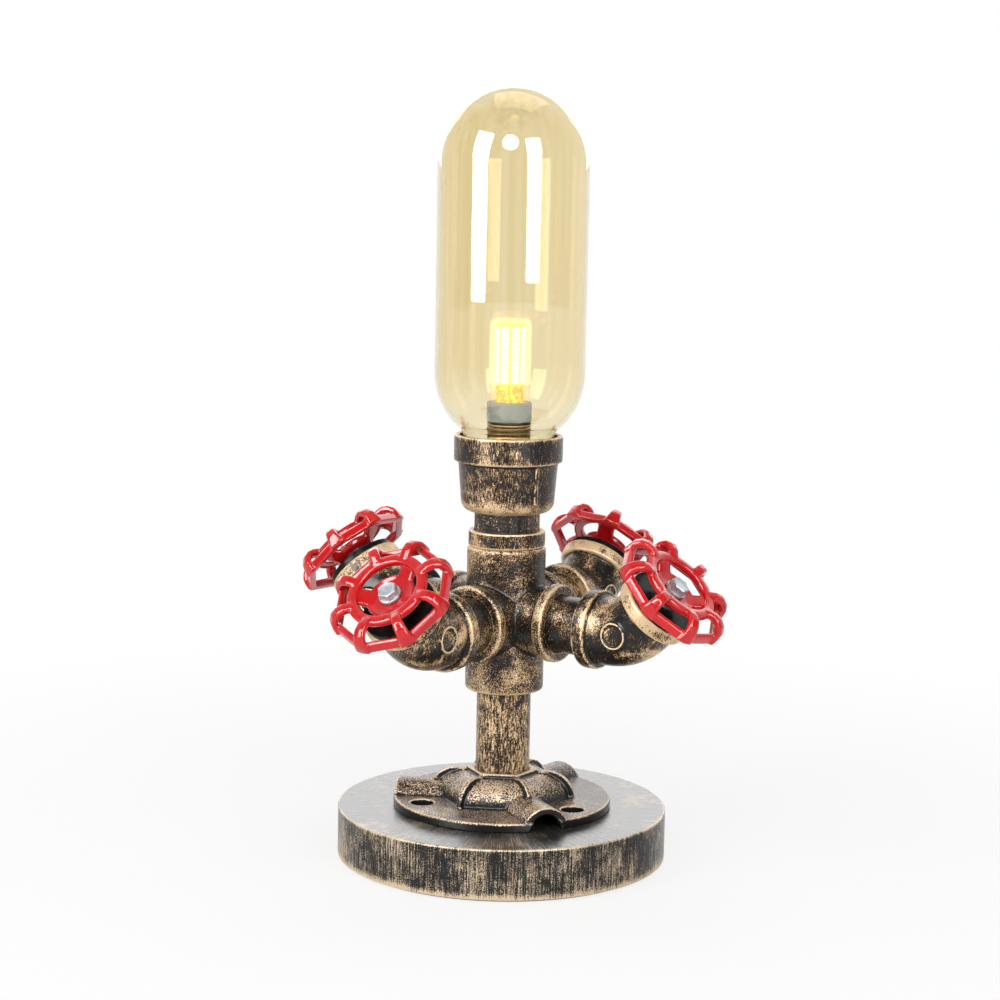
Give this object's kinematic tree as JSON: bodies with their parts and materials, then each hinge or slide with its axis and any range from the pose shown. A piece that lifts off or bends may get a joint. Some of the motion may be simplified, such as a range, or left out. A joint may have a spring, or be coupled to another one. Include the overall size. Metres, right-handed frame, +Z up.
{
  "type": "table lamp",
  "caption": "Pipe table lamp: round base, cast pipe tree whose capped elbows carry red valve handwheels that turn, lift-off glass capsule over a plug-in lamp.",
  "frame": {"origin": "centre of the underside of the foot pad", "axes": "+Z up along the stem; -Y is the front, as pictured; +X is the viewer's right"},
  "size_m": [0.1974, 0.1975, 0.3546],
  "materials": {
    "black_foam": "matt closed-cell foam",
    "brushed_base": "black paint dry-brushed with dull gold",
    "black_rubber": "matt",
    "zinc_steel": "zinc plated",
    "bronzed_casting": "rough casting, black with rubbed bronze",
    "bronzed_pipe": "pipe, black with brushed bronze streaks",
    "amber_glass": "clear amber, glossy",
    "aged_brass": "aged",
    "white_ceramic": "fine matt",
    "contact_metal": "tinned",
    "led_board": "matt",
    "clear_cover": "clear",
    "brown_lead": "smooth insulation",
    "blue_lead": "smooth insulation",
    "terminal_plastic": "moulded",
    "zinc_bolt": "zinc plated, slightly blue",
    "black_plastic": "satin",
    "red_enamel": "thick glossy enamel on a casting",
    "led_phosphor": "lit yellow phosphor"
  },
  "bodies": {
    "root": {"arm_pipe_back_left": "bronzed_pipe", "arm_pipe_back_right": "bronzed_pipe", "arm_pipe_front_left": "bronzed_pipe", "arm_pipe_front_right": "bronzed_pipe", "base_disc": "brushed_base", "block_screw": "zinc_steel", "cord_grommet": "black_rubber", "cross": "bronzed_casting", "cup": "bronzed_casting", "elbow_back_left": "bronzed_casting", "elbow_back_right": "bronzed_casting", "elbow_front_left": "bronzed_casting", "elbow_front_right": "bronzed_casting", "end_cap_back_left": "black_plastic", "end_cap_back_right": "black_plastic", "end_cap_front_left": "black_plastic", "end_cap_front_right": "black_plastic", "flange": "bronzed_casting", "foot_pad": "black_foam", "glass_gasket": "black_rubber", "holder_cap": "aged_brass", "holder_contacts": "contact_metal", "holder_core": "white_ceramic", "holder_sleeve": "aged_brass", "lead_live": "brown_lead", "lead_neutral": "blue_lead", "lock_ring": "bronzed_casting", "stem_pipe": "bronzed_pipe", "terminal_barrels": "contact_metal", "terminal_block": "terminal_plastic", "terminal_screws": "zinc_steel", "tie_nuts": "zinc_steel", "tie_tube": "zinc_steel", "tie_washers": "zinc_steel", "top_nipple": "bronzed_pipe", "wheel_bolts": "zinc_bolt", "wheel_spacers": "zinc_bolt", "wheel_washers": "zinc_bolt"},
    "wheel_front_right": {"handwheel_front_right": "red_enamel"},
    "wheel_back_right": {"handwheel_back_right": "red_enamel"},
    "wheel_back_left": {"handwheel_back_left": "red_enamel"},
    "wheel_front_left": {"handwheel_front_left": "red_enamel"},
    "glass": {"glass_shade": "amber_glass"},
    "lamp": {"lamp_base": "white_ceramic", "lamp_pins": "contact_metal", "led_carrier": "led_board", "led_strips": "led_phosphor", "lamp_cover": "clear_cover"}
  },
  "joints": [
    {"name": "wheel_front_right_spin", "type": "hinge", "parent": "root", "child": "wheel_front_right", "pos_m": [0.07418, -0.04929, 0.13506], "axis": [0.589, -0.3913, 0.7071], "continuous": true},
    {"name": "wheel_back_right_spin", "type": "hinge", "parent": "root", "child": "wheel_back_right", "pos_m": [0.04929, 0.07418, 0.13506], "axis": [0.3913, 0.589, 0.7071], "continuous": true},
    {"name": "wheel_back_left_spin", "type": "hinge", "parent": "root", "child": "wheel_back_left", "pos_m": [-0.07418, 0.04929, 0.13506], "axis": [-0.589, 0.3913, 0.7071], "continuous": true},
    {"name": "wheel_front_left_spin", "type": "hinge", "parent": "root", "child": "wheel_front_left", "pos_m": [-0.04929, -0.07418, 0.13506], "axis": [-0.3913, -0.589, 0.7071], "continuous": true},
    {"name": "glass_lift", "type": "slide", "parent": "root", "child": "glass", "axis": [0, 0, 1], "range_m": [0, 0.085]},
    {"name": "lamp_pull", "type": "slide", "parent": "root", "child": "lamp", "axis": [0, 0, 1], "range_m": [0, 0.012]}
  ]
}
